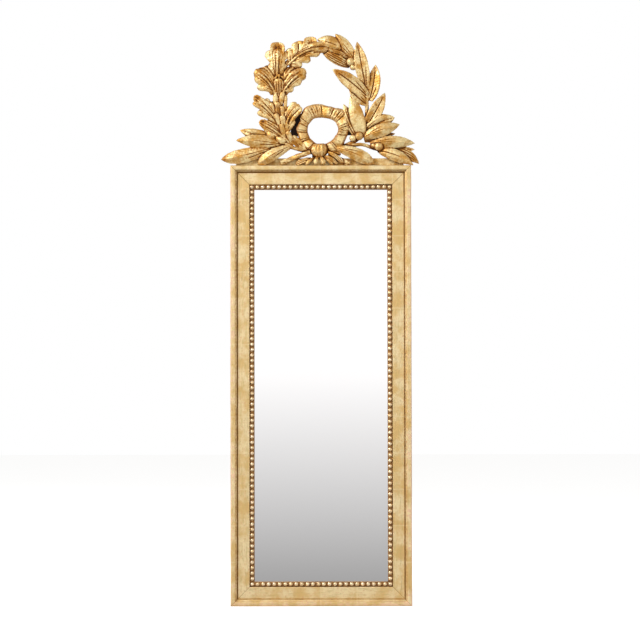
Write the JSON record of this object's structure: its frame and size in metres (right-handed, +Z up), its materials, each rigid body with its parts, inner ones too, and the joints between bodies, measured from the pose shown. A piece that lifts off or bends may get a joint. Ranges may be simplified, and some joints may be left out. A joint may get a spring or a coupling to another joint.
{
  "type": "pier mirror",
  "caption": "Tall giltwood pier mirror with a pearled sight edge and a carved crest of oak and laurel tied by a ribbon.",
  "frame": {"origin": "middle of the bottom rail's flat back, in the plane that lies against the wall", "axes": "+Z up along the frame, +Y back toward the wall, +X to the right as seen from the front"},
  "size_m": [0.4175, 0.0433, 1.2033],
  "materials": {
    "gilt_frame": "pale water gilding over red bole on gesso, worn at the edges",
    "gilt_carving": "warm gilding with dark toning in the recesses",
    "bare_pine": "old planed pine, brown with age",
    "dark_wood": "bare wood, nearly black with age",
    "silvered_glass": "silvered plate glass",
    "steel": "dull zinc-grey steel"
  },
  "bodies": {
    "mirror": {"back_board_1": "bare_pine", "back_board_2": "bare_pine", "back_board_3": "bare_pine", "corner_key_bottom_left": "bare_pine", "corner_key_bottom_right": "bare_pine", "corner_key_top_left": "bare_pine", "corner_key_top_right": "bare_pine", "crest_board": "gilt_carving", "crest_bridge_left": "dark_wood", "crest_bridge_right": "dark_wood", "crest_spine": "dark_wood", "cut_stem_left": "gilt_carving", "cut_stem_right": "gilt_carving", "edge_moulding_bottom": "gilt_frame", "edge_moulding_left": "gilt_frame", "edge_moulding_right": "gilt_frame", "edge_moulding_top": "gilt_frame", "glass_block_1": "bare_pine", "glass_block_2": "bare_pine", "glass_block_3": "bare_pine", "glass_block_4": "bare_pine", "glass_block_5": "bare_pine", "glass_block_6": "bare_pine", "laurel_branch": "gilt_carving", "laurel_spray_left": "gilt_carving", "laurel_spray_right": "gilt_carving", "mirror_glass": "silvered_glass", "oak_branch": "gilt_carving", "pearl_strip_bottom": "gilt_frame", "pearl_strip_left": "gilt_frame", "pearl_strip_right": "gilt_frame", "pearl_strip_top": "gilt_frame", "rail_bottom": "gilt_frame", "rail_left": "gilt_frame", "rail_right": "gilt_frame", "rail_top": "gilt_frame", "ribbon_fan": "gilt_carving", "ribbon_knot": "gilt_carving", "ribbon_ring": "gilt_carving", "ribbon_tail": "gilt_carving", "spine_screw_1": "steel", "spine_screw_2": "steel", "strap_left": "steel", "strap_right": "steel", "strap_screw_left_1": "steel", "strap_screw_left_2": "steel", "strap_screw_right_1": "steel", "strap_screw_right_2": "steel"},
    "left_ring": {"d_ring_left": "steel"},
    "right_ring": {"d_ring_right": "steel"}
  },
  "joints": [
    {"name": "left_ring_swing", "type": "hinge", "parent": "mirror", "child": "left_ring", "pos_m": [-0.173, 0.00355, 0.623], "axis": [1, 0, 0], "range_deg": [0, 175]},
    {"name": "right_ring_swing", "type": "hinge", "parent": "mirror", "child": "right_ring", "pos_m": [0.173, 0.00355, 0.623], "axis": [1, 0, 0], "range_deg": [0, 175]}
  ]
}
